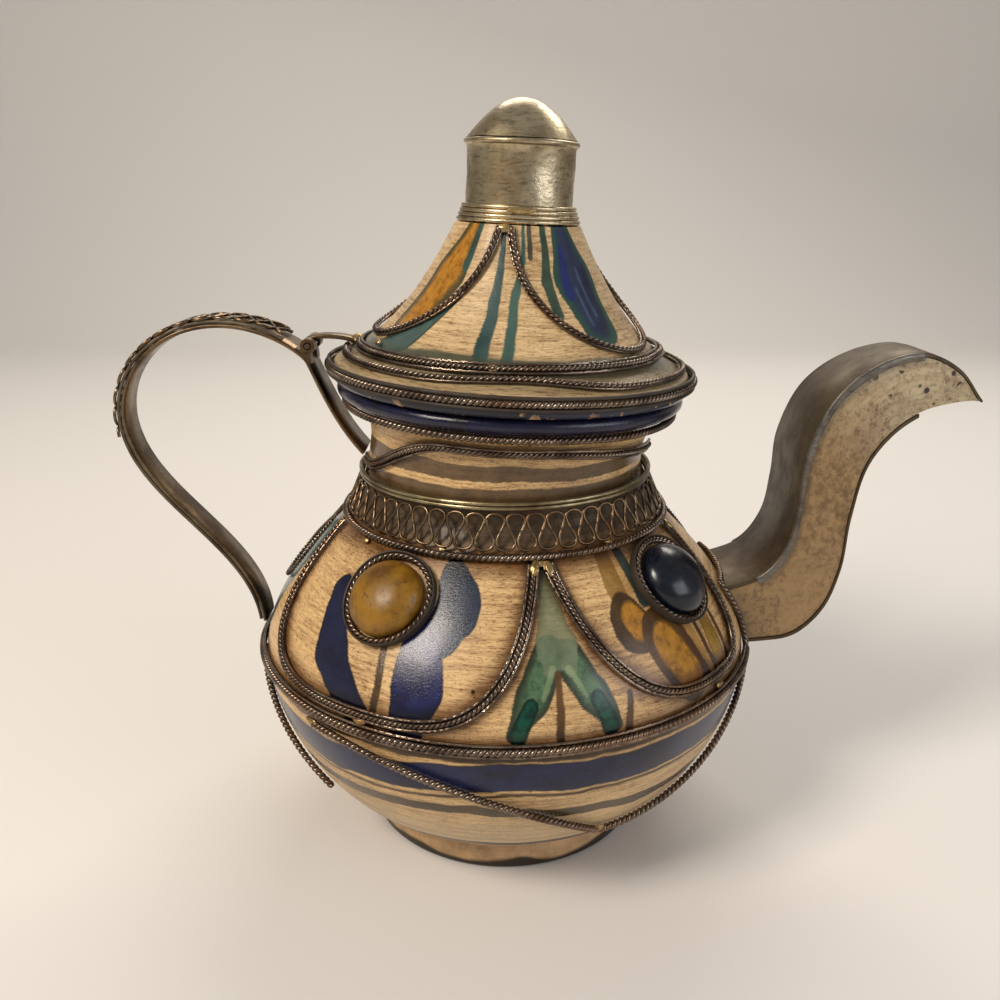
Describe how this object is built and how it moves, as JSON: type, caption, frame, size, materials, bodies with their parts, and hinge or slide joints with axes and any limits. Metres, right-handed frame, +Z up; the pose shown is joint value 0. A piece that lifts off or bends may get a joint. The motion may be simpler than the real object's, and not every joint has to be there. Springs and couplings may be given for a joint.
{
  "type": "teapot",
  "caption": "Squat glazed earthenware teapot in wire filigree with a curved bone-and-metal box spout, strap handle, set cabochons and a hinged conical lid.",
  "frame": {"origin": "centre of the foot's flat underside", "axes": "+Z up, +X towards the spout, -Y towards the viewer of the picture"},
  "size_m": [0.2473, 0.149, 0.21],
  "materials": {
    "glazed_body": "crackled painted glaze over tan earthenware",
    "glazed_lid": "crackled painted glaze over tan earthenware",
    "rope_metal": "dark tarnished nickel silver, twisted wire",
    "silver_wire": "worn nickel silver",
    "strap_metal": "tarnished nickel silver sheet",
    "spout_strip_metal": "greenish brown tarnished sheet",
    "bone": "aged polished camel bone",
    "amber_resin": "opaque speckled mustard amber resin",
    "navy_resin": "near-black blue glossy resin"
  },
  "bodies": {
    "pot": {"pot_body": "glazed_body", "rim_rope": "rope_metal", "neck_rope": "rope_metal", "collar_bottom_rope": "rope_metal", "equator_rope": "rope_metal", "petal_festoon_front_left": "rope_metal", "petal_festoon_front_right": "rope_metal", "petal_festoon_back_right": "rope_metal", "petal_festoon_back_left": "rope_metal", "swag_rope_front": "rope_metal", "swag_rope_back": "rope_metal", "spout_tie_front": "rope_metal", "spout_tie_back": "rope_metal", "handle_tie_front": "rope_metal", "handle_tie_back": "rope_metal", "bezel_amber_front": "rope_metal", "bezel_amber_back": "rope_metal", "bezel_navy_front": "rope_metal", "bezel_navy_back": "rope_metal", "shoulder_leaf": "rope_metal", "spout_root_wire": "rope_metal", "collar_top_wires": "silver_wire", "collar_scroll": "silver_wire", "handle_scroll": "silver_wire", "handle_edge_wire_front": "silver_wire", "handle_edge_wire_back": "silver_wire", "spout_trim_front": "silver_wire", "spout_trim_back": "silver_wire", "hinge_pin": "silver_wire", "handle_strap": "strap_metal", "hinge_knuckle_front": "strap_metal", "hinge_knuckle_back": "strap_metal", "spout_upper_strip": "spout_strip_metal", "spout_lower_strip": "spout_strip_metal", "spout_bone_front": "bone", "spout_bone_back": "bone", "cabochon_amber_front": "amber_resin", "cabochon_amber_back": "amber_resin", "cabochon_navy_front": "navy_resin", "cabochon_navy_back": "navy_resin"},
    "lid": {"lid_shell": "glazed_lid", "lid_edge_ropes": "rope_metal", "lid_foot_rope": "rope_metal", "lid_flange_rope": "rope_metal", "lid_swag_front_left": "rope_metal", "lid_swag_front_right": "rope_metal", "lid_swag_back": "rope_metal", "finial_collar_wires": "silver_wire", "finial_sleeve": "silver_wire", "finial_dome": "silver_wire", "lid_tongue": "strap_metal"}
  },
  "joints": [
    {"name": "lid_hinge", "type": "hinge", "parent": "pot", "child": "lid", "pos_m": [-0.05499, 0, 0.14564], "axis": [0, -1, 0], "range_deg": [0, 95]}
  ]
}
